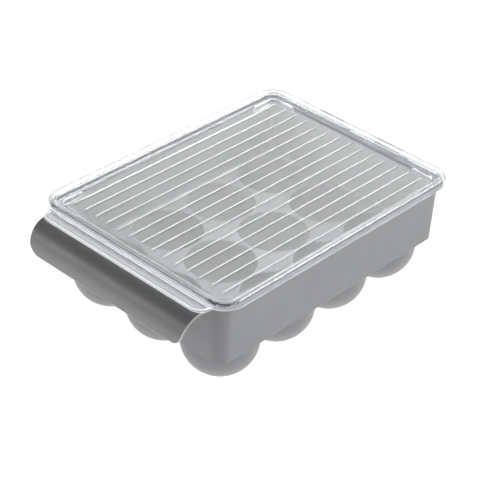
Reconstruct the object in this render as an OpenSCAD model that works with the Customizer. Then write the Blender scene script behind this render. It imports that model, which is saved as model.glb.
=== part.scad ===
// Egg keeper: a drafted open bin with a moulded deck of round egg cups, a
// curled pull handle along the front rim, and a clear ribbed cover that flips
// up on two snap hooks at the back.
// Millimetres. X is the width, -Y is the front (handle side), +Z is up.
// The origin is under the middle of the overall box, on the surface that the
// cup feet stand on.

/* [Egg cups] */
// Cups across the width
cup_cols = 3; // [2:1:4]
// Cups along the length
cup_rows = 4; // [2:1:6]
// Distance between cup centres across the width
cup_pitch_x = 54; // [52:0.5:60]
// Distance between cup centres along the length
cup_pitch_y = 56.2; // [56:0.1:64]
// Outside radius of a cup
cup_r = 27.8; // [26:0.1:27.9]
// Wall thickness of a cup
cup_t = 1.8; // [1.2:0.1:2.4]
// How much the round underside of a cup is cut flat to stand on
foot_cut = 0.5; // [0.2:0.1:1.5]

/* [Bin] */
// Height from the table to the underside of the cup deck
deck_z = 32; // [30:0.5:36]
// Thickness of the cup deck
deck_t = 1.8; // [1.4:0.1:2.4]
// Wall thickness of the bin
wall_t = 1.8; // [1.4:0.1:2.4]
// Margin between the outermost cup centre and the foot of the side wall
side_margin = 28.5; // [28.2:0.1:32]
// Margin between the outermost cup centre and the foot of the end wall
end_margin = 30; // [28.5:0.1:34]
// How far each wall leans out from foot to rim
wall_draft = 0.8; // [0.5:0.1:3]
// Height from the table to the underside of the rim flange
flange_z = 78.2; // [70:0.1:90]
// Thickness of the rim flange
flange_t = 1.9; // [1.5:0.1:2.5]
// Reach of the rim flange beyond the side walls
flange_w = 4.4; // [3:0.1:5]
// Reach of the rim flange beyond the end walls
flange_w_end = 3.5; // [3:0.1:4.2]
// Corner radius at the foot of the wall
foot_corner_r = 9; // [6:0.1:12]
// Corner radius of the rim flange
flange_r = 12.2; // [10:0.1:14]

/* [Pull handle] */
// Half width of the handle at the rim
handle_half_top = 75.5; // [60:0.5:76]
// Half width of the handle at its lower edge
handle_half_low = 72; // [50:0.5:74]
// Flat run of the handle beyond the flange before it curls down
handle_flat = 7.8; // [4:0.1:12]
// Outside radius of the curl
handle_r = 16.5; // [10:0.5:22]
// Straight drop below the curl
handle_drop = 5; // [2:0.5:10]
// Radius of the two lower corners
handle_corner_r = 8; // [3:0.5:12]

/* [Cover] */
// Gap between the cover and the rim flange
cover_gap = 0.3; // [0.2:0.05:0.6]
// Thickness of the flat panel
panel_t = 1.6; // [1.2:0.1:2.4]
// Reach of the cover beyond the rim flange
cover_over = 2; // [1:0.1:3]
// Corner radius of the cover
cover_r = 17; // [13:0.5:17.5]
// Height of the raised border above the panel
border_h = 4.1; // [2.5:0.1:6]
// Width of the raised border
border_w = 7.9; // [6:0.1:10]
// Wall thickness of the border
border_t = 1.8; // [1.2:0.1:2.4]
// Number of ribs on the panel
rib_count = 14; // [6:1:14]
// Distance between ribs
rib_pitch = 11; // [8:0.5:11]
// Length of a rib
rib_len = 207.6; // [150:0.2:208]
// Width of a rib
rib_w = 1.1; // [0.6:0.1:1.6]
// Height of a rib
rib_h = 0.6; // [0.3:0.1:1]
// Height of the corner locators above the panel
locator_h = 0.8; // [0.4:0.1:2]
// Depth of the corner locators below the panel, inside the bin
locator_drop = 4.2; // [2:0.1:5]
// Outer corner radius of a locator
locator_r = 6.5; // [5:0.5:8]
// Width of a corner locator
locator_w = 2.2; // [1.5:0.1:3]
// Length of a locator leg across the width
locator_x = 22.4; // [10:0.2:30]
// Length of a locator leg along the length
locator_y = 22.4; // [10:0.2:30]
// Reach of the finger lip beyond the border
lip_reach = 9.8; // [6:0.1:14]
// Half width of the finger lip
lip_half = 78; // [40:0.2:79]
// Thickness of the finger lip
lip_t = 2.2; // [1.6:0.1:3.2]
// Radius of the lip corners
lip_corner_r = 9.3; // [2:0.1:9.5]

/* [Hinge] */
// Distance from the middle to the centre of each hinge
hinge_x = 28; // [22:1:50]
// Length of each snap hook along the hinge axis
hook_len = 24; // [10:1:30]
// Radius of the hinge rod
rod_r = 1.75; // [1.5:0.05:2.2]
// Radial running clearance between rod and hook
rod_gap = 0.07; // [0.03:0.01:0.1]
// Wall of the snap hook round the rod
hook_t = 1.7; // [1.2:0.1:1.8]
// Width of the snap-in mouth of the hook
hook_mouth = 2.9; // [2.4:0.1:3.2]
// Thickness of each hinge ear
ear_t = 2.4; // [1.6:0.1:3.2]
// Side gap between hook and ear
ear_gap = 0.5; // [0.3:0.1:1]
// Height of the rod centre below the rim flange
rod_below = 3.7; // [3.6:0.05:5]
// Distance of the rod centre behind the rim flange
rod_behind = 3.3; // [3:0.1:4]

/* [Hidden] */
grey = [0.58, 0.59, 0.60];
clear = [0.90, 0.93, 0.95, 0.45];
// half sizes of the foot and the top of the wall
foot_x = (cup_cols - 1) / 2 * cup_pitch_x + side_margin;
foot_y = (cup_rows - 1) / 2 * cup_pitch_y + end_margin;
top_x = foot_x + wall_draft;
top_y = foot_y + wall_draft;
top_corner_r = foot_corner_r + wall_draft;
flange_x = top_x + flange_w;
flange_y = top_y + flange_w_end;
flange_top = flange_z + flange_t;
// cover half sizes and levels
cover_x = flange_x + cover_over;
cover_y = flange_y + cover_over;
cover_z0 = flange_top + cover_gap;
panel_z = cover_z0 + panel_t;
border_z = panel_z + border_h;
in_x = cover_x - border_w;
in_y = cover_y - border_w;
in_r = 5.5;
// hinge axis
rod_y = flange_y + rod_behind;
rod_z = flange_z - rod_below;
ear_r = rod_below - 0.1;
hook_r = rod_r + rod_gap + hook_t;
// overall front and back, so that the origin sits under the middle
front_y = flange_y + handle_flat + handle_r;
back_y = rod_y + ear_r;
y_mid = (front_y - back_y) / 2;
cz = cup_r - foot_cut;

module rrect(hx, hy, r) {
    square([2 * (hx - r), 2 * hy], center = true);
    square([2 * hx, 2 * (hy - r)], center = true);
    for (sx = [-1, 1], sy = [-1, 1])
        translate([sx * (hx - r), sy * (hy - r)]) circle(r = r, $fn = 64);
}

module slab(hx, hy, r, z0, z1) {
    translate([0, 0, z0]) linear_extrude(z1 - z0) rrect(hx, hy, r);
}

// a rounded box whose sides and corners all lean out by the same draft
module drafted(hx, hy, r, z0, z1, lean) {
    rotate([90, 0, 0]) translate([0, 0, -(hy - r)]) linear_extrude(2 * (hy - r))
        polygon([[-hx, z0], [hx, z0], [hx + lean, z1], [-hx - lean, z1]]);
    rotate([90, 0, 90]) translate([0, 0, -(hx - r)]) linear_extrude(2 * (hx - r))
        polygon([[-hy, z0], [hy, z0], [hy + lean, z1], [-hy - lean, z1]]);
    for (sx = [-1, 1], sy = [-1, 1])
        translate([sx * (hx - r), sy * (hy - r), z0])
            cylinder(h = z1 - z0, r1 = r, r2 = r + lean, $fn = 64);
}

module placed() { translate([0, y_mid, 0]) children(); }

module at_cups() {
    for (i = [0 : cup_cols - 1], j = [0 : cup_rows - 1])
        translate([(i - (cup_cols - 1) / 2) * cup_pitch_x, (j - (cup_rows - 1) / 2) * cup_pitch_y, 0])
            children();
}

// the four leaning walls and the flat rim flange
module bin_wall() {
    color(grey) placed() {
        difference() {
            drafted(foot_x, foot_y, foot_corner_r, deck_z + deck_t, flange_z, wall_draft);
            drafted(foot_x - wall_t, foot_y - wall_t, foot_corner_r - wall_t, deck_z + deck_t, flange_z, wall_draft);
        }
        difference() {
            slab(flange_x, flange_y, flange_r, flange_z, flange_top);
            slab(top_x - wall_t, top_y - wall_t, top_corner_r - wall_t, flange_z - 1, flange_top + 1);
        }
    }
}

// the flat web that joins the cups, one round hole over each cup
module cup_deck() {
    color(grey) placed() difference() {
        slab(foot_x, foot_y, foot_corner_r, deck_z, deck_z + deck_t);
        at_cups() translate([0, 0, deck_z - 1]) cylinder(r = cup_r - cup_t, h = deck_t + 2, $fn = 96);
    }
}

// round-bottomed cups under the deck, each kept to its own share of the row
module egg_cups() {
    color(grey) placed() at_cups() translate([0, 0, cz]) intersection() {
        difference() {
            union() {
                sphere(r = cup_r, $fn = 96);
                cylinder(r = cup_r, h = deck_z - cz, $fn = 96);
            }
            sphere(r = cup_r - cup_t, $fn = 96);
            cylinder(r = cup_r - cup_t, h = deck_z - cz + 1, $fn = 96);
        }
        translate([-cup_pitch_x / 2 + 0.02, -cup_pitch_y / 2 + 0.02, -cz])
            cube([cup_pitch_x - 0.04, cup_pitch_y - 0.04, deck_z]);
    }
}

// the curled front handle, moulded on the rim flange
module pull_handle() {
    y1 = -(flange_y + handle_flat);
    z1 = flange_top - handle_r;
    t = flange_t;
    color(grey) placed() intersection() {
        translate([-100, 0, 0]) rotate([90, 0, 90]) linear_extrude(200) {
            translate([y1, flange_top - t]) square([handle_flat, t]);
            intersection() {
                translate([y1, z1]) difference() {
                    circle(r = handle_r, $fn = 96);
                    circle(r = handle_r - t, $fn = 96);
                }
                translate([y1 - handle_r - 1, z1]) square([handle_r + 1, handle_r + 1]);
            }
            translate([y1 - handle_r, z1 - handle_drop]) square([t, handle_drop]);
        }
        translate([0, -80, 0]) rotate([90, 0, 0]) linear_extrude(100) difference() {
            polygon([[-handle_half_low, z1 - handle_drop - 1], [handle_half_low, z1 - handle_drop - 1],
                     [handle_half_top, flange_top + 1], [-handle_half_top, flange_top + 1]]);
            for (s = [-1, 1]) scale([s, 1]) difference() {
                translate([handle_half_low - handle_corner_r, z1 - handle_drop - 2])
                    square([handle_corner_r + 3, handle_corner_r + 2]);
                translate([handle_half_low - handle_corner_r, z1 - handle_drop + handle_corner_r])
                    circle(r = handle_corner_r, $fn = 64);
            }
        }
    }
}

// two ears under the flange with a moulded rod between them
module hinge_bracket(side) {
    w = hook_len + 2 * ear_gap;
    color(grey) placed() translate([side * hinge_x, 0, 0]) {
        for (s = [0, 1])
            translate([s == 0 ? -w / 2 - ear_t : w / 2, 0, 0]) rotate([90, 0, 90]) linear_extrude(ear_t) {
                translate([rod_y, rod_z]) circle(r = ear_r, $fn = 64);
                translate([top_y + 0.1, rod_z - ear_r]) square([rod_y - top_y - 0.1, 2 * ear_r]);
                translate([top_y + 0.1, rod_z]) square([flange_y - top_y - 0.4, rod_below]);
            }
        translate([-w / 2 - 0.5, rod_y, rod_z]) rotate([0, 90, 0]) cylinder(r = rod_r, h = w + 1, $fn = 64);
    }
}

// clear cover: flat panel with a hollow raised border that rests on the flange
module cover_panel() {
    color(clear) placed() difference() {
        slab(cover_x, cover_y, cover_r, cover_z0, border_z);
        slab(in_x, in_y, in_r, panel_z, border_z + 1);
        difference() {
            slab(cover_x - border_t, cover_y - border_t, cover_r - border_t, cover_z0 - 1, border_z - border_t);
            slab(in_x + border_t, in_y + border_t, in_r + border_t, cover_z0 - 2, border_z);
        }
    }
}

// fine parallel ribs along the panel
module cover_ribs() {
    color(clear) placed()
        for (i = [0 : rib_count - 1])
            translate([(i - (rib_count - 1) / 2) * rib_pitch - rib_w / 2, -rib_len / 2, panel_z])
                cube([rib_w, rib_len, rib_h]);
}

// outline of one L-shaped locator, its outer corner at the origin
module locator_outline() {
    translate([-locator_w, -locator_y]) square([locator_w, locator_y - locator_r]);
    translate([-locator_x, -locator_w]) square([locator_x - locator_r, locator_w]);
    intersection() {
        translate([-locator_r, -locator_r]) difference() {
            circle(r = locator_r, $fn = 64);
            circle(r = locator_r - locator_w, $fn = 64);
        }
        translate([-locator_r, -locator_r]) square([locator_r, locator_r]);
    }
}

// L-shaped corners: a low ridge on the panel and a wall below it that keeps the cover centred in the bin
module corner_locators() {
    color(clear) placed()
        for (sx = [-1, 1], sy = [-1, 1]) scale([sx, sy, 1])
            translate([in_x - 0.9, in_y - 1.3, 0]) {
                translate([0, 0, panel_z]) linear_extrude(locator_h) locator_outline();
                translate([0, 0, cover_z0 - locator_drop]) linear_extrude(locator_drop) locator_outline();
            }
}

// flat lip in front of the border to lift the cover by, its root follows the border
module finger_lip() {
    color(clear) placed() translate([0, 0, cover_z0]) linear_extrude(lip_t) difference() {
        translate([0, -(cover_y + lip_reach - 20), 0]) rrect(lip_half, 20, lip_corner_r);
        rrect(cover_x, cover_y, cover_r);
    }
}

// open hook under the back border that snaps over the hinge rod
module snap_hook(side) {
    a0 = cover_y - border_t + 0.3;
    color(clear) placed() translate([side * hinge_x - hook_len / 2, 0, 0])
        rotate([90, 0, 90]) linear_extrude(hook_len) difference() {
            union() {
                translate([rod_y, rod_z]) circle(r = hook_r, $fn = 96);
                translate([a0, rod_z + 1]) square([cover_y - a0, cover_z0 - rod_z - 1]);
            }
            translate([rod_y, rod_z]) circle(r = rod_r + rod_gap, $fn = 96);
            translate([rod_y - hook_mouth / 2, rod_z - hook_r - 1]) square([hook_mouth, hook_r + 1]);
        }
}

bin_wall();
cup_deck();
egg_cups();
pull_handle();
hinge_bracket(-1);  // hinge_bracket_left
hinge_bracket(1);  // hinge_bracket_right
cover_panel();
cover_ribs();
corner_locators();
finger_lip();
snap_hook(-1);  // snap_hook_left
snap_hook(1);  // snap_hook_right
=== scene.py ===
import math
import bpy
import bmesh
import numpy as np
from mathutils import Matrix, Vector


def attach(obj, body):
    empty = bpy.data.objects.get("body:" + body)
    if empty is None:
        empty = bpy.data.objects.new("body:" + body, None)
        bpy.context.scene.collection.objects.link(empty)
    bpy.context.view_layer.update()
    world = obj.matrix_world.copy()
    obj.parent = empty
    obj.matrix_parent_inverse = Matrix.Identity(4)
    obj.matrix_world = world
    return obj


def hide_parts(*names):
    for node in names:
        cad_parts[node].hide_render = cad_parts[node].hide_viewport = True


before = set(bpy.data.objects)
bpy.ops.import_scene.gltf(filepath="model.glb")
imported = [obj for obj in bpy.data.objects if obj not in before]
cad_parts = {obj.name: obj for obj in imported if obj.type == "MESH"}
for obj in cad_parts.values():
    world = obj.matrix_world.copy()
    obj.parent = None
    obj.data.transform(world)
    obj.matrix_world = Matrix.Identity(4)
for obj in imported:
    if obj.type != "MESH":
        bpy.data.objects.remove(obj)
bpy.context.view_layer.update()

MM = 0.001
YM = 8.7            # the row frame's origin is 8.7 mm in front of the bin's middle

# ---------------------------------------------------------------- dimensions, mm
CUP_R, CUP_T, CZ = 27.8, 1.8, 27.3
PX, PY = 54.0, 56.2
DECK_Z, DECK_TOP = 32.0, 33.8
FOOT_X, FOOT_Y, FOOT_R = 82.5, 114.3, 9.0
DRAFT, WALL_T = 0.8, 1.8
FLANGE_Z, FLANGE_TOP = 78.2, 80.1
FLANGE_X, FLANGE_Y, FLANGE_R = 87.7, 118.6, 12.2
COVER_X, COVER_Y, COVER_R = 89.7, 120.6, 17.0
COVER_Z0, PANEL_Z, BORDER_Z = 80.4, 82.0, 86.1
IN_X, IN_Y, IN_R = 81.8, 112.7, 5.5
ROD_Y, ROD_Z, ROD_R = 121.9, 74.5, 1.75


# ---------------------------------------------------------------- mesh helpers
def make(name, verts, faces, material, smooth=32.0):
    """A closed mesh in the row frame from millimetre coordinates about the bin's middle."""
    v = np.asarray(verts, float).reshape(-1, 3)
    key = np.round(v / 2e-4).astype(np.int64)
    _, first, back = np.unique(key, axis=0, return_index=True, return_inverse=True)
    back = back.reshape(-1)
    v = v[first]
    out = []
    for f in faces:
        g = []
        for i in f:
            j = int(back[i])
            if not g or g[-1] != j:
                g.append(j)
        while len(g) > 1 and g[0] == g[-1]:
            g.pop()
        if len(set(g)) == len(g) and len(g) >= 3:
            out.append(g)
    v = v + np.array([0.0, YM, 0.0])
    me = bpy.data.meshes.new(name)
    me.from_pydata([tuple(p) for p in v * MM], [], out)
    me.validate()
    bm = bmesh.new()
    bm.from_mesh(me)
    bmesh.ops.recalc_face_normals(bm, faces=bm.faces)
    bm.to_mesh(me)
    bm.free()
    me.materials.append(material)
    for p in me.polygons:
        p.use_smooth = True
    me.set_sharp_from_angle(angle=math.radians(smooth))
    ob = bpy.data.objects.new(name, me)
    bpy.context.scene.collection.objects.link(ob)
    return ob


def weighted(ob):
    m = ob.modifiers.new("normals", "WEIGHTED_NORMAL")
    m.mode = "FACE_AREA"
    m.keep_sharp = True
    m.weight = 50


def bevel(ob, width, segments=3, angle=40.0):
    m = ob.modifiers.new("edge", "BEVEL")
    m.width = width * MM
    m.segments = segments
    m.limit_method = "ANGLE"
    m.angle_limit = math.radians(angle)
    m.use_clamp_overlap = True
    return m


def bake(ob):
    """Applies every modifier of a piece to its mesh."""
    dg = bpy.context.evaluated_depsgraph_get()
    me = bpy.data.meshes.new_from_object(ob.evaluated_get(dg), depsgraph=dg)
    ob.modifiers.clear()
    old = ob.data
    ob.data = me
    bpy.data.meshes.remove(old)
    return ob


def union(ob, others):
    for i, o in enumerate(others):
        m = ob.modifiers.new("union%d" % i, "BOOLEAN")
        m.operation = "UNION"
        m.solver = "EXACT"
        m.material_mode = "TRANSFER"
        m.object = o
    bake(ob)
    for o in others:
        bpy.data.objects.remove(o)
    return ob


# a rounded rectangle (half sizes hx, hy, corner radius r) and points that keep their place on it as it changes
def param(p, hx, hy, r):
    x, y = p
    sx, sy = (1 if x >= 0 else -1), (1 if y >= 0 else -1)
    ax, ay = abs(x), abs(y)
    if ax <= hx - r + 1e-9 and ay > hy - r:
        return ("H", sx, sy, ax / (hx - r))
    if ay <= hy - r + 1e-9:
        return ("V", sx, sy, ay / (hy - r))
    return ("A", sx, sy, math.atan2(ay - (hy - r), ax - (hx - r)))


def at(q, hx, hy, r):
    kind, sx, sy, t = q
    if kind == "H":
        return (sx * t * (hx - r), sy * hy)
    if kind == "V":
        return (sx * hx, sy * t * (hy - r))
    return (sx * (hx - r + r * math.cos(t)), sy * (hy - r + r * math.sin(t)))


def loop_params(hx, hy, r, arc=14, nx=10, ny=14):
    """Evenly spread places round a rounded rectangle, anticlockwise from +X."""
    out = []
    out += [("V", 1, 1, t) for t in np.linspace(0, 1, ny + 1)[:-1]]
    out += [("A", 1, 1, a) for a in np.linspace(0, math.pi / 2, arc + 1)[:-1]]
    out += [("H", 1, 1, t) for t in np.linspace(1, 0, nx + 1)[:-1]]
    out += [("H", -1, 1, t) for t in np.linspace(0, 1, nx + 1)[:-1]]
    out += [("A", -1, 1, a) for a in np.linspace(math.pi / 2, 0, arc + 1)[:-1]]
    out += [("V", -1, 1, t) for t in np.linspace(1, 0, ny + 1)[:-1]]
    out += [("V", -1, -1, t) for t in np.linspace(0, 1, ny + 1)[:-1]]
    out += [("A", -1, -1, a) for a in np.linspace(0, math.pi / 2, arc + 1)[:-1]]
    out += [("H", -1, -1, t) for t in np.linspace(1, 0, nx + 1)[:-1]]
    out += [("H", 1, -1, t) for t in np.linspace(0, 1, nx + 1)[:-1]]
    out += [("A", 1, -1, a) for a in np.linspace(math.pi / 2, 0, arc + 1)[:-1]]
    out += [("V", 1, -1, t) for t in np.linspace(1, 0, ny + 1)[:-1]]
    return out


def arc_pts(cx, cz, r, a0, a1, n):
    """Points on an arc as (offset, z), angles in degrees."""
    return [(cx + r * math.cos(math.radians(a)), cz + r * math.sin(math.radians(a)))
            for a in np.linspace(a0, a1, n + 1)]


# ---------------------------------------------------------------- the grey bin
def wall_half(z):
    """How far the leaning wall has moved out at height z."""
    return DRAFT * (z - DECK_TOP) / (FLANGE_Z - DECK_TOP)


def build_bin(material):
    verts, faces = [], []
    NQ = 20
    tan = [math.tan(math.radians(45.0 * k / NQ)) for k in range(NQ + 1)]
    ri = CUP_R - CUP_T                      # 26, the hole's radius
    RHO, RHO2, RHO3, RE = 1.2, 1.6, 0.8, 0.6
    inn = (FOOT_X - WALL_T, FOOT_Y - WALL_T, FOOT_R - WALL_T)
    bot = (FOOT_X - RE, FOOT_Y - RE, FOOT_R - RE)

    def sdf(x, y, o):
        hx, hy, r = o
        dx, dy = abs(x) - (hx - r), abs(y) - (hy - r)
        return math.hypot(max(dx, 0), max(dy, 0)) + min(max(dx, dy), 0) - r

    def lift(x, y):
        """The fillet between the deck's top and the wall."""
        d = -sdf(x, y, inn)
        d = min(max(d, 0.0), RHO2)
        return RHO2 - math.sqrt(max(RHO2 ** 2 - (RHO2 - d) ** 2, 0.0))

    def boundary(cx, cy, i, j, o, ix, iy):
        """The cell's outline as points from its centre, with True where it lies on the wall."""
        hx, hy, r = o
        ext = {1: (hx - cx) if i == 2 else ix, -1: (hx + cx) if i == 0 else ix}
        eyt = {1: (hy - cy) if j == 3 else iy, -1: (hy + cy) if j == 0 else iy}
        wx = {1: i == 2, -1: i == 0}
        wy = {1: j == 3, -1: j == 0}
        out = []
        for sx, sy, rev in ((1, 1, False), (-1, 1, True), (-1, -1, False), (1, -1, True)):
            X, Y = ext[sx], eyt[sy]
            q = []
            if wx[sx] and wy[sy]:
                nst, na = 11, 2 * NQ - 22
                ys = [(Y - r) * math.tan(math.radians(45.0 * k / nst)) for k in range(nst + 1)]
                xs = [(X - r) * math.tan(math.radians(45.0 * k / nst)) for k in range(nst + 1)]
                q += [((sx * X, sy * y), True) for y in ys[:-1]]
                q += [((sx * (X - r + r * math.cos(a)), sy * (Y - r + r * math.sin(a))), True)
                      for a in np.linspace(0, math.pi / 2, na + 1)]
                q += [((sx * x, sy * Y), True) for x in xs[::-1][1:]]
            else:
                q += [((sx * X, sy * Y * t), wx[sx]) for t in tan[:-1]]
                q += [((sx * X, sy * Y), wx[sx] or wy[sy])]
                q += [((sx * X * t, sy * Y), wy[sy]) for t in tan[::-1][1:]]
            # q runs from the X axis to the Y axis
            if rev:
                q = q[::-1]
            out += q[:-1]
        return out

    def add(p):
        verts.append(p)
        return len(verts) - 1

    for i in range(3):
        for j in range(4):
            cx, cy = (i - 1) * PX, (j - 1.5) * PY
            top = boundary(cx, cy, i, j, inn, PX / 2, PY / 2)
            low = boundary(cx, cy, i, j, bot, PX / 2, PY / 2)
            cols = []
            for (tp, tw), (bp, bw) in zip(top, low):
                # ---- upper surface, from the middle of the cup outwards
                rb = math.hypot(*tp)
                ux, uy = tp[0] / rb, tp[1] / rb
                col = []
                for k in range(17):
                    a = math.radians(90.0 * k / 16)
                    col.append((ri * math.sin(a), CZ - ri * math.cos(a), 0))
                col.append((ri, (CZ + DECK_TOP - RHO) / 2, 0))
                r2 = min(rb, ri + RHO)
                p_end = math.asin(max(-1.0, min(1.0, 1 - (r2 - ri) / RHO)))
                for k in range(6):
                    a = math.pi / 2 + (p_end - math.pi / 2) * k / 5
                    col.append((ri + RHO * (1 - math.sin(a)), DECK_TOP - RHO * (1 - math.cos(a)), 1))
                rest = rb - r2
                zf = DECK_TOP - RHO * (1 - math.cos(p_end))
                for d in (1e9, 3.2, 2.1, 1.4, 0.95, 0.6, 0.35, 0.15, 0.04, 0.0):
                    dd = min(rest, d)
                    col.append((rb - dd, zf, 1))
                up = []
                for r_, z_, lf in col:
                    x_, y_ = cx + ux * r_, cy + uy * r_
                    if lf:
                        z_ = z_ + lift(x_, y_)
                    up.append(add((x_, y_, z_)))
                # ---- under surface
                rb = math.hypot(*bp)
                ux, uy = bp[0] / rb, bp[1] / rb
                ro = CUP_R
                foot = math.asin(5.6 / ro)
                a_end = math.asin(min(1.0, rb / ro))
                dn = [(0.0, 0.0), (4.6, 0.0), (5.1, 0.02), (5.35, 0.1)]
                for k in range(1, 17):
                    a = foot + (math.pi / 2 - foot) * k / 16
                    a = min(a, a_end)
                    z_ = CZ - ro * math.cos(a)
                    if k == 1:
                        pass
                    dn.append((ro * math.sin(a), z_))
                if rb > ro:
                    dn.append((ro, (CZ + DECK_Z - RHO3) / 2))
                    r2 = min(rb, ro + RHO3)
                    p_end = math.asin(max(-1.0, min(1.0, 1 - (r2 - ro) / RHO3)))
                    for k in range(5):
                        a = math.pi / 2 + (p_end - math.pi / 2) * k / 4
                        dn.append((ro + RHO3 * (1 - math.sin(a)), DECK_Z - RHO3 * (1 - math.cos(a))))
                    dn.append((rb, DECK_Z - RHO3 * (1 - math.cos(p_end))))
                else:
                    dn += [dn[-1]] * 7
                under = [add((cx + ux * r_, cy + uy * r_, z_)) for r_, z_ in dn]
                wall = []
                if tw:
                    qi = param((cx + tp[0], cy + tp[1]), *inn)
                    qo = param((cx + bp[0], cy + bp[1]), *bot)
                    # inner face up to the rim
                    for z_ in (DECK_TOP + RHO2 + 0.4, 45.0, 56.0, 67.0, 78.0, FLANGE_TOP - 0.7):
                        w = wall_half(z_)
                        wall.append((*at(qi, inn[0] + w, inn[1] + w, inn[2] + w), z_))
                    w = wall_half(FLANGE_Z)
                    for a in (22.5, 45.0, 67.5, 90.0):
                        o_ = 0.7 * (1 - math.cos(math.radians(a)))
                        z_ = FLANGE_TOP - 0.7 + 0.7 * math.sin(math.radians(a))
                        wall.append((*at(qi, inn[0] + w + o_, inn[1] + w + o_, inn[2] + w + o_), z_))
                    for a in (90.0, 67.5, 45.0, 22.5, 0.0):
                        o_ = 0.45 * (1 - math.cos(math.radians(a)))
                        z_ = FLANGE_TOP - 0.45 + 0.45 * math.sin(math.radians(a))
                        wall.append((*at(qo, FLANGE_X - o_, FLANGE_Y - o_, FLANGE_R - o_), z_))
                    for a in (0.0, 30.0, 60.0, 90.0):
                        o_ = 0.35 * (1 - math.cos(math.radians(a)))
                        z_ = FLANGE_Z + 0.35 - 0.35 * math.sin(math.radians(a))
                        wall.append((*at(qo, FLANGE_X - o_, FLANGE_Y - o_, FLANGE_R - o_), z_))
                    ox, oy, orr = FOOT_X + w, FOOT_Y + w, FOOT_R + w
                    for a in (0.0, 22.5, 45.0, 67.5, 90.0):
                        o_ = 1.1 * (1 - math.sin(math.radians(a)))
                        z_ = FLANGE_Z - 1.1 * (1 - math.cos(math.radians(a)))
                        wall.append((*at(qo, ox + o_, oy + o_, orr + o_), z_))
                    for z_ in (67.0, 56.0, 45.0, DECK_Z + RE + 0.5):
                        w = wall_half(z_)
                        wall.append((*at(qo, FOOT_X + w, FOOT_Y + w, FOOT_R + w), z_))
                    for a in (0.0, 30.0, 60.0, 90.0):
                        w = wall_half(DECK_Z + RE)
                        o_ = RE * (1 - math.cos(math.radians(a))) - w
                        z_ = DECK_Z + RE - RE * math.sin(math.radians(a))
                        if a == 90.0:
                            o_ = RE
                        wall.append((*at(qo, FOOT_X - o_, FOOT_Y - o_, FOOT_R - o_), z_))
                    # the last ring is the under surface's own outline
                    wall[-1] = verts[under[-1]]
                cols.append((up, under, [add(p) for p in wall] if wall else None))
            n = len(cols)
            for k in range(n):
                a, b = cols[k], cols[(k + 1) % n]
                for u in range(len(a[0]) - 1):
                    faces.append((a[0][u], a[0][u + 1], b[0][u + 1], b[0][u]))
                for u in range(len(a[1]) - 1):
                    faces.append((a[1][u], b[1][u], b[1][u + 1], a[1][u + 1]))
                if a[2] and b[2]:
                    wa, wb = [a[0][-1]] + a[2], [b[0][-1]] + b[2]
                    for u in range(len(wa) - 1):
                        faces.append((wa[u], wa[u + 1], wb[u + 1], wb[u]))
    ob = make("bin_shell", verts, faces, material)
    weighted(ob)
    return ob


def build_handle(material, edge):
    """The curled sheet along the front rim: an outer and an inner skin with a rounded outline."""
    R_, T_ = 16.5, 1.9
    y1 = -(FLANGE_Y + 7.8)
    zc = FLANGE_TOP - R_
    drop = 5.0
    e = 0.03
    prof = []                                    # (outer y, z, inner y, z)
    for y in (-(FLANGE_Y - 3.0), -(FLANGE_Y - 0.8), -(FLANGE_Y + 0.4), -(FLANGE_Y + 2.2), -(FLANGE_Y + 5.0)):
        prof.append((y, FLANGE_TOP + e, y, FLANGE_Z - e))
    for a in np.linspace(90, 180, 27):
        c, s = math.cos(math.radians(a)), math.sin(math.radians(a))
        ee = e * max(0.0, 1 - (a - 90) / 20)
        prof.append((y1 + (R_ + ee) * c, zc + (R_ + ee) * s, y1 + (R_ - T_ - ee) * c, zc + (R_ - T_ - ee) * s))
    for d in (4.2, 3.2, 2.2, 1.5, 0.85, 0.0):
        prof.append((y1 - R_, zc - drop + d, y1 - R_ + T_, zc - drop + d))
    z_low = zc - drop

    def half(z, y):
        w = 72.0 + (75.5 - 72.0) * (z - z_low) / (FLANGE_TOP - z_low)
        d = z - z_low
        if d < 8.0:
            w -= 8.0 - math.sqrt(max(64.0 - (8.0 - d) ** 2, 0.0))
        # a sweep into the rim, kept at zero: the width does not change
        g = -FLANGE_Y - y
        if g < 4.0 and g > -0.6:
            w += 0.0
        return w

    NV = 36
    vs = [math.sin(math.radians(t)) for t in np.linspace(-90, 90, NV + 1)]
    vs = list(np.linspace(-1, 1, NV + 1))
    verts, faces = [], []
    n = len(prof)
    for side in (0, 1):
        for k, (yo, zo, yi, zi) in enumerate(prof):
            w = half(zo, yo)
            y, z = (yo, zo) if side == 0 else (yi, zi)
            for v in vs:
                verts.append((v * w, y, z))
    W = NV + 1

    def idx(side, k, v):
        return side * n * W + k * W + v
    for k in range(n - 1):
        for v in range(NV):
            faces.append((idx(0, k, v), idx(0, k, v + 1), idx(0, k + 1, v + 1), idx(0, k + 1, v)))
            faces.append((idx(1, k, v), idx(1, k + 1, v), idx(1, k + 1, v + 1), idx(1, k, v + 1)))
        for v in (0, NV):
            faces.append((idx(0, k, v), idx(0, k + 1, v), idx(1, k + 1, v), idx(1, k, v)))
    for v in range(NV):
        for k in (0, n - 1):
            faces.append((idx(0, k, v), idx(0, k, v + 1), idx(1, k, v + 1), idx(1, k, v)))
    ob = make("handle_curl", verts, faces, material)
    ob.data.materials.append(edge)
    m = bevel(ob, 0.5, 3, 50)
    m.use_clamp_overlap = False
    m.material = 1                                          # painted highlight: the bevel faces take a near-white copy of the grey plastic
    weighted(ob)
    return ob


def prism(outline, x0, x1):
    """A solid from a closed (y, z) outline between two X planes."""
    n = len(outline)
    verts = [(x0, y, z) for y, z in outline] + [(x1, y, z) for y, z in outline]
    faces = [tuple(range(n)), tuple(range(2 * n - 1, n - 1, -1))]
    for k in range(n):
        m = (k + 1) % n
        faces.append((k, m, m + n, k + n))
    return verts, faces


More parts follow.
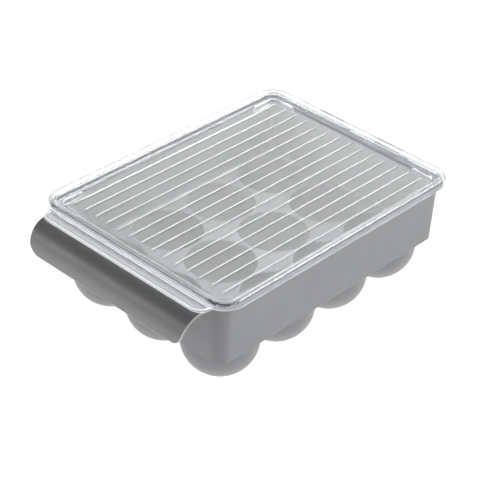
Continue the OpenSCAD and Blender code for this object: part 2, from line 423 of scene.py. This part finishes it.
def build_bracket(side, material):
    ear_r, ear_t, w = 3.6, 2.4, 25.0
    parts = []
    for s in (-1, 1):
        x0 = side * 28 + (w / 2 if s > 0 else -w / 2 - ear_t)
        root = 115.25
        o = [(root, FLANGE_Z + 0.2), (FLANGE_Y - 0.9, FLANGE_Z + 0.2), (FLANGE_Y - 0.6, FLANGE_Z - 0.6)]
        # a soft shoulder from the flange down to the round end
        o += [(ROD_Y - 1.9, ROD_Z + math.sqrt(ear_r ** 2 - 1.9 ** 2))]
        o += [(ROD_Y + ear_r * math.cos(a), ROD_Z + ear_r * math.sin(a))
              for a in np.linspace(math.radians(112), math.radians(-90), 26)]
        o += [(root, ROD_Z - ear_r)]
        v, f = prism(o, x0, x0 + ear_t)
        parts.append(make("ear", v, f, material, 30))
        bevel(parts[-1], 0.35, 3, 35)
        bake(parts[-1])
    verts, faces = [], []
    n = 40
    xs = [side * 28 - w / 2 - 1.0, side * 28 + w / 2 + 1.0]
    for x in xs:
        for k in range(n):
            a = 2 * math.pi * k / n
            verts.append((x, ROD_Y + ROD_R * math.cos(a), ROD_Z + ROD_R * math.sin(a)))
    for k in range(n):
        m = (k + 1) % n
        faces.append((k, m, m + n, k + n))
    faces.append(tuple(range(n)))
    faces.append(tuple(range(2 * n - 1, n - 1, -1)))
    rod = make("hinge_rod", verts, faces, material, 30)
    ob = union(parts[0], [parts[1], rod])
    ob.name = "bracket_left" if side < 0 else "bracket_right"
    ob.data.set_sharp_from_angle(angle=math.radians(35))
    weighted(ob)
    return ob


# ---------------------------------------------------------------- the clear cover
def build_cover(material, painted_highlight_white, edge, line, rim):
    params = loop_params(COVER_X, COVER_Y, COVER_R, 16, 12, 16)
    rings = []

    def ring(hx, hy, r, z):
        rings.append([(*at(q, hx, hy, r), z) for q in params])

    def off(hx, hy, r, d, z):
        ring(hx - d, hy - d, max(r - d, 0.3), z)

    # upper surface from the middle out
    for s in (0.25, 0.6, 0.85, 0.95):
        ring(IN_X * s, IN_Y * s - 2 * s, IN_R, PANEL_Z)
    for d in (4.0, 2.4):
        off(IN_X, IN_Y, IN_R, d, PANEL_Z)
    F = 0.35
    for a in (90, 72, 54, 36, 18, 0):                       # fillet at the foot of the border's inner face
        s = math.sin(math.radians(a))
        off(IN_X, IN_Y, IN_R, F * s, PANEL_Z + F * (1 - s))
    G = 0.9                                                  # inner top edge
    for a in (0, 18, 36, 54, 72, 90):
        c, s = math.cos(math.radians(a)), math.sin(math.radians(a))
        off(IN_X, IN_Y, IN_R, -0.5 - G * (1 - c), BORDER_Z - G + G * s)
    H = 2.0                                                  # outer top edge
    for a in (90, 75, 60, 45, 30, 15, 0):
        c, s = math.cos(math.radians(a)), math.sin(math.radians(a))
        off(COVER_X, COVER_Y, COVER_R, H * (1 - c) + 0.1, BORDER_Z - H + H * s)
    for a in (0, 30, 60, 90):                                # lower outer edge
        c, s = math.cos(math.radians(a)), math.sin(math.radians(a))
        off(COVER_X, COVER_Y, COVER_R, 0.5 * (1 - c), COVER_Z0 + 0.5 - 0.5 * s)
    for a in (90, 45, 0):                                    # lower inner edge of the skirt
        c, s = math.cos(math.radians(a)), math.sin(math.radians(a))
        off(COVER_X, COVER_Y, COVER_R, 1.8 - 0.4 * (1 - c), COVER_Z0 + 0.4 - 0.4 * s)
    K = 1.2                                                  # the hollow under the border
    for a in (0, 30, 60, 90):
        c, s = math.cos(math.radians(a)), math.sin(math.radians(a))
        off(COVER_X, COVER_Y, COVER_R, 1.85 + K * (1 - c), BORDER_Z - 1.8 - K + K * s)
    K = 0.3
    for a in (90, 60, 30, 0):
        c, s = math.cos(math.radians(a)), math.sin(math.radians(a))
        off(IN_X, IN_Y, IN_R, -1.9 - K * (1 - c), BORDER_Z - 1.8 - K + K * s)
    for a in (0, 30, 60, 90):
        c, s = math.cos(math.radians(a)), math.sin(math.radians(a))
        off(IN_X, IN_Y, IN_R, -1.8 + 0.6 * (1 - c), COVER_Z0 + 0.6 - 0.6 * s)
    for s in (0.95, 0.85, 0.6, 0.25):
        ring(IN_X * s, IN_Y * s - 2 * s, IN_R, COVER_Z0)
    verts, faces = [], []
    n = len(params)
    for rg in rings:
        verts += rg
    for k in range(len(rings) - 1):
        for m in range(n):
            q = (m + 1) % n
            faces.append((k * n + m, k * n + q, (k + 1) * n + q, (k + 1) * n + m))
    faces.append(tuple(range(n)))
    last = (len(rings) - 1) * n
    faces.append(tuple(range(last + n - 1, last - 1, -1)))
    cover = make("cover_clear", verts, faces, material, 35)
    # slot 1 is painted shade: a dark-tinted, half-clear plastic for the lower rim
    cover.data.materials.append(edge)
    cover.data.materials.append(rim)
    for f in cover.data.polygons:
        c = f.center / MM
        qx, qy = abs(c.x) - (COVER_X - COVER_R), abs(c.y - YM) - (COVER_Y - COVER_R)
        gap = COVER_R - (math.hypot(qx, qy) if qx > 0 and qy > 0 else max(qx, qy))
        if c.z < COVER_Z0 + 0.52 and gap < 1.9:              # the lower rim, dark-tinted: painted shade
            f.material_index = 1
        elif 85.05 < c.z < 85.9 and gap < 1.4:               # the turn of the outer top edge, dark-tinted: painted shade
            f.material_index = 2

    # ---- ribs: fine rounded ridges with rounded ends
    verts, faces = [], []
    RW, RH, L = 0.55, 0.6, 207.6 / 2
    prof = [(-RW, -0.4)] + [(-RW * math.cos(math.radians(a)), RH * math.sin(math.radians(a)))
                            for a in (0, 18, 36, 54, 72, 90, 108, 126, 144, 162, 180)] + [(RW, -0.4)]
    ys = [(-L, 0.02), (-L + 0.15, 0.45), (-L + 0.4, 0.72), (-L + 0.8, 0.9), (-L + 1.5, 1.0)]
    ys += [(y, 1.0) for y in (-60, -20, 20, 60)]
    ys += [(L - 1.5, 1.0), (L - 0.8, 0.9), (L - 0.4, 0.72), (L - 0.15, 0.45), (L, 0.02)]
    for i in range(14):
        x = (i - 6.5) * 11.0
        base = len(verts)
        for y, s in ys:
            for px, pz in prof:
                h = pz * s if pz > 0 else pz
                verts.append((x + px * (0.35 + 0.65 * s), y, PANEL_Z + h))
        m = len(prof)
        for k in range(len(ys) - 1):
            for u in range(m):
                v = (u + 1) % m
                faces.append((base + k * m + u, base + k * m + v, base + (k + 1) * m + v, base + (k + 1) * m + u))
        faces.append(tuple(base + u for u in range(m)))
        e = base + (len(ys) - 1) * m
        faces.append(tuple(e + u for u in range(m - 1, -1, -1)))
    # painted highlight: the ribs are made in a partly matt, near-white clear plastic so that they read as bright lines
    ribs = make("ribs", verts, faces, painted_highlight_white)

    # ---- corner locators: L-shaped walls through the panel, a low ridge above and a longer wall below
    verts, faces, edged = [], [], []
    hw, rc = 1.1, 5.4
    for sx in (1, -1):
        for sy in (1, -1):
            x1, y1 = IN_X - 0.9 - hw, IN_Y - 1.3 - hw
            path = [(x1, y1 - 22.4 + 2 * hw)]
            path += [(x1, y1 - d) for d in (15, 10, rc + 0.6)]
            path += [(x1 - rc + rc * math.cos(a), y1 - rc + rc * math.sin(a)) for a in np.linspace(0, math.pi / 2, 13)]
            path += [(x1 - d, y1) for d in (rc + 0.6, 10, 15)]
            path += [(x1 - 22.4 + 2 * hw, y1)]
            path = np.array(path)
            tang = np.gradient(path, axis=0)
            tang /= np.linalg.norm(tang, axis=1)[:, None]
            nor = np.stack([-tang[:, 1], tang[:, 0]], 1)

            def outline(w):
                left = [tuple(p + nn * w) for p, nn in zip(path, nor)]
                right = [tuple(p - nn * w) for p, nn in zip(path, nor)][::-1]
                t1, n1, p1 = tang[-1], nor[-1], path[-1]
                t0, n0, p0 = tang[0], nor[0], path[0]
                k = w - 0.25
                cap1 = [tuple(p1 + k * n1 + w * t1), tuple(p1 - k * n1 + w * t1)]
                cap0 = [tuple(p0 - k * n0 - w * t0), tuple(p0 + k * n0 - w * t0)]
                return left + cap1 + right + cap0
            base = len(verts)
            lv = [(hw - 0.45, -5.8), (hw - 0.3, -5.72), (hw - 0.17, -5.45), (hw, -1.6), (hw, 0.45), (hw - 0.05, 0.62),
                  (hw - 0.17, 0.74), (hw - 0.34, 0.8)]
            m = 0
            for w, z in lv:
                o = outline(w)
                m = len(o)
                verts += [(sx * px, sy * py, PANEL_Z + z) for px, py in o]
            ncap = (len(path), len(path) * 2 + 2)
            for k in range(len(lv) - 1):
                for u in range(m):
                    v = (u + 1) % m
                    faces.append((base + k * m + u, base + k * m + v, base + (k + 1) * m + v, base + (k + 1) * m + u))
                    edged.append(k >= 4 or (k < 3 and u in ncap))
            faces.append(tuple(base + u for u in range(m)))
            e = base + (len(lv) - 1) * m
            faces.append(tuple(e + u for u in range(m - 1, -1, -1)))
            edged += [False, False]
    locs = make("locators", verts, faces, material)
    locs.data.materials.append(painted_highlight_white)
    # painted highlight: the locators' rounded top edges and end faces take the near-white plastic
    for f, on in zip(locs.data.polygons, edged):
        f.material_index = 1 if on else 0

    # ---- finger lip: a thin plate with a rounded bead along its outline
    verts, faces = [], []
    LH, LR, RC = 78.0, 9.8, 9.3

    def lip_outline(d):
        hx, hy, r = LH - d, LR - d, max(RC - d, 0.5)
        y0 = -COVER_Y
        root = y0 + 1.2 + 0.19 * max(hx - 72.7, 0)            # follows the border round its corner
        pts = [(70.0 - d, y0 + 1.2 + 0.02 * d), (hx, root), (hx, y0 - 0.2), (hx, y0 - (hy - r) * 0.5)]
        pts += [(hx - r + r * math.cos(a), y0 - (hy - r) - r * math.sin(a)) for a in np.linspace(0, math.pi / 2, 13)]
        pts += [(x, y0 - hy) for x in np.linspace(hx - r, -(hx - r), 15)[1:-1]]
        pts += [(-(hx - r) - r * math.cos(a), y0 - (hy - r) - r * math.sin(a)) for a in np.linspace(math.pi / 2, 0, 13)]
        pts += [(-hx, y0 - (hy - r) * 0.5), (-hx, y0 - 0.2), (-hx, root), (-70.0 + d, y0 + 1.2 + 0.02 * d)]
        return pts
    Z0, ZT, ZP = COVER_Z0 - 0.12, COVER_Z0 + 2.2, COVER_Z0 + 1.6
    # (distance in from the outline, height, material of the band that follows): 0 clear, 1 a near-white painted
    # highlight band, 2 a dark-tinted painted shade band
    lv = [(3.4, ZP, 0), (2.6, ZP, 2), (2.3, ZP + 0.05, 2), (2.15, ZP + 0.2, 2), (2.05, ZT - 0.12, 2), (1.9, ZT, 2),
          (1.4, ZT, 0), (0.42, ZT, 1), (0.2, ZT - 0.06, 1), (0.05, ZT - 0.2, 1), (0.0, ZT - 0.35, 2), (0.0, Z0 + 0.5, 1),
          (0.04, Z0 + 0.15, 1), (0.15, Z0 + 0.03, 1), (0.45, Z0, 0)]
    m, edged = 0, []
    for d, z, _ in lv:
        o = lip_outline(d)
        m = len(o)
        verts += [(px, py, z) for px, py in o]
    for k in range(len(lv) - 1):
        for u in range(m):
            v = (u + 1) % m
            faces.append((k * m + u, k * m + v, (k + 1) * m + v, (k + 1) * m + u))
            edged.append(lv[k][2])
    faces.append(tuple(range(m)))
    e = (len(lv) - 1) * m
    faces.append(tuple(range(e + m - 1, e - 1, -1)))
    edged += [0, 0]
    lip = make("lip", verts, faces, material)
    assert len(lip.data.polygons) == len(edged)
    lip.data.materials.append(line)
    lip.data.materials.append(edge)
    for f, on in zip(lip.data.polygons, edged):
        f.material_index = on

    # ---- a low step where the lip meets the border, following the border round its corners
    verts, faces, edged = [], [], []
    path = []
    for a in np.linspace(math.asin(4.9 / COVER_R), 0, 5):
        path.append((COVER_X - COVER_R, a))
    path += [(x, 0.0) for x in (60.0, 40.0, 20.0, 0.0, -20.0, -40.0, -60.0)]
    path += [(-(COVER_X - COVER_R), -a) for a in np.linspace(0, math.asin(4.9 / COVER_R), 5)]
    # the band marked 1 is a painted highlight line in the near-white band plastic
    sec = [(-0.6, 81.7, 0), (0.95, 81.7, 0), (0.95, 82.04, 0), (0.6, 82.2, 0), (0.36, 82.55, 0), (0.24, 83.1, 1),
           (0.2, 83.75, 0), (0.06, 84.1, 0), (-0.6, 84.1, 0)]
    for cx, a in path:
        for o, z, _ in sec:
            r = COVER_R + o
            verts.append((cx + r * math.sin(a), -(COVER_Y - COVER_R) - r * math.cos(a), z))
    m = len(sec)
    for k in range(len(path) - 1):
        for u in range(m):
            v = (u + 1) % m
            faces.append((k * m + u, k * m + v, (k + 1) * m + v, (k + 1) * m + u))
            edged.append(sec[u][2])
    faces.append(tuple(range(m)))
    e = (len(path) - 1) * m
    faces.append(tuple(range(e + m - 1, e - 1, -1)))
    edged += [0, 0]
    step = make("step", verts, faces, material)
    assert len(step.data.polygons) == len(edged)
    step.data.materials.append(line)
    for f, on in zip(step.data.polygons, edged):
        f.material_index = on

    # ---- snap hooks: an arm from the skirt and an open ring round the rod
    hooks = []
    for side in (-1, 1):
        ro, rin = 3.52, 1.82
        a0, a1 = math.radians(-90 + 38), math.radians(270 - 38)
        yA, yB = 119.15, 120.5
        o = []
        # outside of the ring, from the mouth round the back to the arm
        t_arm = math.acos((yB - ROD_Y) / ro)
        o += [(ROD_Y + ro * math.cos(a), ROD_Z + ro * math.sin(a)) for a in np.linspace(a0 + 0.12, t_arm, 26)]
        o += [(yB, ROD_Z + ro * math.sin(t_arm) + 0.3), (yB, COVER_Z0 + 1.2), (yA, COVER_Z0 + 1.2)]
        t_in = math.acos((yA - ROD_Y) / ro)
        o += [(yA, ROD_Z + ro * math.sin(t_in) + 0.05)]
        o += [(ROD_Y + ro * math.cos(a), ROD_Z + ro * math.sin(a)) for a in np.linspace(t_in, a1 - 0.12, 14)]
        # round the mouth and back along the bore
        mr = (ro + rin) / 2
        o += [(ROD_Y + mr * math.cos(a1 + 0.02), ROD_Z + mr * math.sin(a1 + 0.02))]
        o += [(ROD_Y + rin * math.cos(a), ROD_Z + rin * math.sin(a)) for a in np.linspace(a1 - 0.05, a0 + 0.05, 40)]
        o += [(ROD_Y + mr * math.cos(a0 - 0.02), ROD_Z + mr * math.sin(a0 - 0.02))]
        v, f = prism(o, side * 28 - 12, side * 28 + 12)
        h = make("hook", v, f, material, 30)
        hooks.append(h)
    union(cover, [lip, step, locs, ribs] + hooks)
    cover.name = "cover_clear"
    cover.data.set_sharp_from_angle(angle=math.radians(35))
    weighted(cover)
    return cover


# ---------------------------------------------------------------- materials
def nodes_of(name):
    m = bpy.data.materials.new(name)
    m.use_nodes = True
    nt = m.node_tree
    nt.nodes.clear()
    out = nt.nodes.new("ShaderNodeOutputMaterial")
    return m, nt, out


def grey_plastic(name="grey_plastic_satin", gain=1.0, rough=0.36):
    m, nt, out = nodes_of(name)
    N, L = nt.nodes, nt.links
    b = N.new("ShaderNodeBsdfPrincipled")
    tc = N.new("ShaderNodeTexCoord")
    # soft flow mottle of the moulding
    n1 = N.new("ShaderNodeTexNoise"); n1.inputs["Scale"].default_value = 22.0
    n1.inputs["Detail"].default_value = 3.0; n1.inputs["Roughness"].default_value = 0.5
    ramp = N.new("ShaderNodeValToRGB")
    ramp.color_ramp.elements[0].position = 0.3
    ramp.color_ramp.elements[0].color = (0.270 * gain, 0.274 * gain, 0.282 * gain, 1)
    ramp.color_ramp.elements[1].position = 0.7
    ramp.color_ramp.elements[1].color = (0.292 * gain, 0.296 * gain, 0.304 * gain, 1)
    L.new(tc.outputs["Object"], n1.inputs["Vector"])
    L.new(n1.outputs["Fac"], ramp.inputs["Fac"])
    L.new(ramp.outputs["Color"], b.inputs["Base Color"])
    # satin finish that varies a little
    n2 = N.new("ShaderNodeTexNoise"); n2.inputs["Scale"].default_value = 60.0
    n2.inputs["Detail"].default_value = 4.0
    L.new(tc.outputs["Object"], n2.inputs["Vector"])
    mr = N.new("ShaderNodeMapRange")
    mr.inputs["From Min"].default_value = 0.3; mr.inputs["From Max"].default_value = 0.7
    mr.inputs["To Min"].default_value = rough; mr.inputs["To Max"].default_value = rough + 0.08
    L.new(n2.outputs["Fac"], mr.inputs["Value"])
    L.new(mr.outputs["Result"], b.inputs["Roughness"])
    # fine spark-eroded grain
    n3 = N.new("ShaderNodeTexNoise"); n3.inputs["Scale"].default_value = 2600.0
    n3.inputs["Detail"].default_value = 2.0
    L.new(tc.outputs["Object"], n3.inputs["Vector"])
    bp_ = N.new("ShaderNodeBump"); bp_.inputs["Strength"].default_value = 0.12
    bp_.inputs["Distance"].default_value = 0.0001
    L.new(n3.outputs["Fac"], bp_.inputs["Height"])
    L.new(bp_.outputs["Normal"], b.inputs["Normal"])
    L.new(b.outputs["BSDF"], out.inputs["Surface"])
    return m


def clear_plastic(name, clear, rough_low, rough_high, tint=(0.925, 0.935, 0.94, 1)):
    m, nt, out = nodes_of(name)
    N, L = nt.nodes, nt.links
    b = N.new("ShaderNodeBsdfPrincipled")
    b.inputs["Base Color"].default_value = tint
    b.inputs["Transmission Weight"].default_value = clear
    b.inputs["IOR"].default_value = 1.49
    tc = N.new("ShaderNodeTexCoord")
    n2 = N.new("ShaderNodeTexNoise"); n2.inputs["Scale"].default_value = 30.0
    n2.inputs["Detail"].default_value = 3.0
    L.new(tc.outputs["Object"], n2.inputs["Vector"])
    mr = N.new("ShaderNodeMapRange")
    mr.inputs["From Min"].default_value = 0.3; mr.inputs["From Max"].default_value = 0.7
    mr.inputs["To Min"].default_value = rough_low; mr.inputs["To Max"].default_value = rough_high
    L.new(n2.outputs["Fac"], mr.inputs["Value"])
    L.new(mr.outputs["Result"], b.inputs["Roughness"])
    n3 = N.new("ShaderNodeTexNoise"); n3.inputs["Scale"].default_value = 38.0
    n3.inputs["Detail"].default_value = 1.0
    L.new(tc.outputs["Object"], n3.inputs["Vector"])
    bp_ = N.new("ShaderNodeBump"); bp_.inputs["Strength"].default_value = 0.015
    bp_.inputs["Distance"].default_value = 0.0005
    L.new(n3.outputs["Fac"], bp_.inputs["Height"])
    L.new(bp_.outputs["Normal"], b.inputs["Normal"])
    lp = N.new("ShaderNodeLightPath")
    tr = N.new("ShaderNodeBsdfTransparent")
    tr.inputs["Color"].default_value = (0.93, 0.94, 0.945, 1)
    mx = N.new("ShaderNodeMixShader")
    L.new(lp.outputs["Is Shadow Ray"], mx.inputs["Fac"])
    L.new(b.outputs["BSDF"], mx.inputs[1])
    L.new(tr.outputs["BSDF"], mx.inputs[2])
    L.new(mx.outputs["Shader"], out.inputs["Surface"])
    return m


def floor_material():
    m, nt, out = nodes_of("pale_floor")
    N, L = nt.nodes, nt.links
    b = N.new("ShaderNodeBsdfPrincipled")
    b.inputs["Base Color"].default_value = (0.8, 0.8, 0.8, 1)
    b.inputs["Roughness"].default_value = 0.9
    b.inputs["Specular IOR Level"].default_value = 0.1
    b.inputs["Emission Color"].default_value = (1, 1, 1, 1)
    # painted light: the floor's emission rises a little to the right, a pool of light painted into the table
    tc = N.new("ShaderNodeTexCoord")
    sp = N.new("ShaderNodeSeparateXYZ")
    L.new(tc.outputs["Object"], sp.inputs["Vector"])
    painted_light_right = N.new("ShaderNodeMapRange")
    painted_light_right.interpolation_type = "SMOOTHSTEP"
    painted_light_right.inputs["From Min"].default_value, painted_light_right.inputs["From Max"].default_value = 0.04, 0.22
    painted_light_right.inputs["To Min"].default_value, painted_light_right.inputs["To Max"].default_value = 0.0, 0.32
    L.new(sp.outputs["X"], painted_light_right.inputs["Value"])
    deep = N.new("ShaderNodeMapRange")
    deep.interpolation_type = "SMOOTHSTEP"
    deep.inputs["From Min"].default_value, deep.inputs["From Max"].default_value = -0.22, 0.02
    deep.inputs["To Min"].default_value, deep.inputs["To Max"].default_value = 0.0, 1.0
    L.new(sp.outputs["Y"], deep.inputs["Value"])
    mul = N.new("ShaderNodeMath")
    mul.operation = "MULTIPLY"
    L.new(painted_light_right.outputs["Result"], mul.inputs[0])
    L.new(deep.outputs["Result"], mul.inputs[1])
    add = N.new("ShaderNodeMath")
    add.operation = "ADD"
    add.inputs[1].default_value = 0.86
    L.new(mul.outputs["Value"], add.inputs[0])
    L.new(add.outputs["Value"], b.inputs["Emission Strength"])
    L.new(b.outputs["BSDF"], out.inputs["Surface"])
    return m


# ---------------------------------------------------------------- camera and studio
def camera():
    cam = bpy.data.cameras.new("camera")
    cam.sensor_width = 36.0
    cam.lens = 36.0 * 1655.44 / 480.0
    cam.clip_start, cam.clip_end = 0.05, 20.0
    ob = bpy.data.objects.new("camera", cam)
    bpy.context.scene.collection.objects.link(ob)
    right = Vector((0.72584569, 0.68607941, 0.04942748))
    down = Vector((0.41739902, -0.3821966, -0.82444152))
    fwd = Vector((-0.54674133, 0.61904831, -0.56378463))
    rot = Matrix((right, -down, -fwd)).transposed().to_4x4()
    s = 11.0 * MM
    loc = Vector((59.09126 * s, -67.6937 * s + YM * MM, 57.4237 * s + PANEL_Z * MM))
    ob.matrix_world = Matrix.Translation(loc) @ rot
    bpy.context.scene.camera = ob


def area(name, loc, target, size, power, size_y=None, spread=180.0):
    li = bpy.data.lights.new(name, "AREA")
    li.energy = power
    li.size = size
    if size_y:
        li.shape = "RECTANGLE"
        li.size_y = size_y
    li.spread = math.radians(spread)
    ob = bpy.data.objects.new(name, li)
    bpy.context.scene.collection.objects.link(ob)
    d = Vector(target) - Vector(loc)
    ob.matrix_world = Matrix.Translation(Vector(loc)) @ d.to_track_quat("-Z", "Y").to_matrix().to_4x4()
    return ob


def studio():
    sc = bpy.context.scene
    sc.view_settings.view_transform = "Standard"
    sc.view_settings.look = "None"
    sc.cycles.max_bounces = 16
    sc.cycles.transmission_bounces = 14
    sc.cycles.transparent_max_bounces = 24
    sc.cycles.glossy_bounces = 8
    # a tent that is bright behind and to the right, and dark above and in front
    w = bpy.data.worlds.new("studio")
    w.use_nodes = True
    nt = w.node_tree
    N, L = nt.nodes, nt.links
    bg = N["Background"]
    tc = N.new("ShaderNodeTexCoord")
    sp = N.new("ShaderNodeSeparateXYZ")
    L.new(tc.outputs["Generated"], sp.inputs["Vector"])

    def step(axis, lo, hi, a, b):
        m = N.new("ShaderNodeMapRange")
        m.interpolation_type = "SMOOTHSTEP"
        m.inputs["From Min"].default_value, m.inputs["From Max"].default_value = lo, hi
        m.inputs["To Min"].default_value, m.inputs["To Max"].default_value = a, b
        L.new(sp.outputs[axis], m.inputs["Value"])
        return m.outputs["Result"]

    def op(kind, a, b):
        m = N.new("ShaderNodeMath")
        m.operation = kind
        L.new(a, m.inputs[0])
        L.new(b, m.inputs[1])
        return m.outputs["Value"]
    back = step("Y", -0.1, 0.7, 0.0, 0.75)
    right = op("MULTIPLY", step("X", 0.1, 0.9, 0.14, 0.36), step("Y", -0.6, 0.2, 0.0, 1.0))
    top = step("Z", 0.45, 0.95, 1.0, 0.65)
    L.new(op("MULTIPLY", op("ADD", back, right), top), bg.inputs["Strength"])
    bg.inputs["Color"].default_value = (0.98, 0.99, 1.0, 1)
    sc.world = w
    only = bpy.data.collections.new("cover_only")
    only.objects.link(cover)
    veil = area("backdrop_softbox", (-0.90, 1.02, 0.98), (0, 0, 0.08), 1.1, 5.9)
    veil.light_linking.receiver_collection = only
    strip = area("rib_strip", (0.40, 1.0, 1.2), (0, 0, 0.08), 1.5, 20.0, 0.4)
    strip.light_linking.receiver_collection = only
    lines = area("line_strip", (0.50, -1.40, 0.90), (0, 0, 0.08), 0.6, 19.0)
    lines.light_linking.receiver_collection = only
    lines.visible_glossy = False                            # lights the matt bands without a mirror image in the panel
    area("side_softbox", (1.5, 0.6, 0.6), (0, 0, 0.05), 0.8, 0.6)
    area("front_softbox", (-0.82, -1.15, 0.5), (0, 0, 0.05), 0.5, 3.8)
    # plain pale floor
    bm = bmesh.new()
    s = 3.0
    vs = [bm.verts.new(p) for p in ((-s, -s, 0), (s, -s, 0), (s, s, 0), (-s, s, 0))]
    bm.faces.new(vs)
    me = bpy.data.meshes.new("floor")
    bm.to_mesh(me)
    bm.free()
    me.materials.append(floor_material())
    fl = bpy.data.objects.new("floor", me)
    sc.collection.objects.link(fl)
    fl.location.z = -0.0002


camera()
GREY = grey_plastic()
CLEAR = clear_plastic("clear_plastic_polished", 1.0, 0.015, 0.04)
# painted highlight: a partly matt, near-white clear plastic for the ribs and the locators' edges
PAINTED_HIGHLIGHT_WHITE = clear_plastic("clear_plastic_rib_painted_highlight", 0.55, 0.12, 0.2)
# painted highlight: a near-white matt plastic for the highlight lines on the lip and the step
PAINTED_HIGHLIGHT_BAND = clear_plastic("clear_plastic_painted_highlight_band", 0.05, 0.2, 0.28, (0.98, 0.98, 0.985, 1))
# painted shade: a dark-tinted clear plastic for the turn of the cover's outer top edge
PAINTED_SHADE_RIM = clear_plastic("clear_plastic_painted_shade_rim", 1.0, 0.03, 0.06, (0.36, 0.37, 0.38, 1))
# painted shade: a dark grey, half-clear plastic for the cover's lower rim and the dark bands on the lip
PAINTED_SHADE_EDGE = clear_plastic("clear_plastic_painted_shade_edge", 0.35, 0.1, 0.18, (0.42, 0.43, 0.44, 1))
# painted highlight: a near-white copy of the grey plastic (colour x 3.1) for the handle's bevelled edges
GREY_PAINTED_HIGHLIGHT = grey_plastic("grey_plastic_painted_highlight", 3.1, 0.16)

shell = build_bin(GREY)
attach(shell, "bin")
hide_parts("bin_wall", "cup_deck", "egg_cups")

handle = build_handle(GREY, GREY_PAINTED_HIGHLIGHT)
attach(handle, "bin")
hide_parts("pull_handle")

for side, node in ((-1, "hinge_bracket_left"), (1, "hinge_bracket_right")):
    br = build_bracket(side, GREY)
    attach(br, "bin")
    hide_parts(node)

cover = build_cover(CLEAR, PAINTED_HIGHLIGHT_WHITE, PAINTED_SHADE_EDGE, PAINTED_HIGHLIGHT_BAND, PAINTED_SHADE_RIM)
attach(cover, "cover")
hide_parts("cover_panel", "cover_ribs", "corner_locators", "finger_lip", "snap_hook_left", "snap_hook_right")

studio()
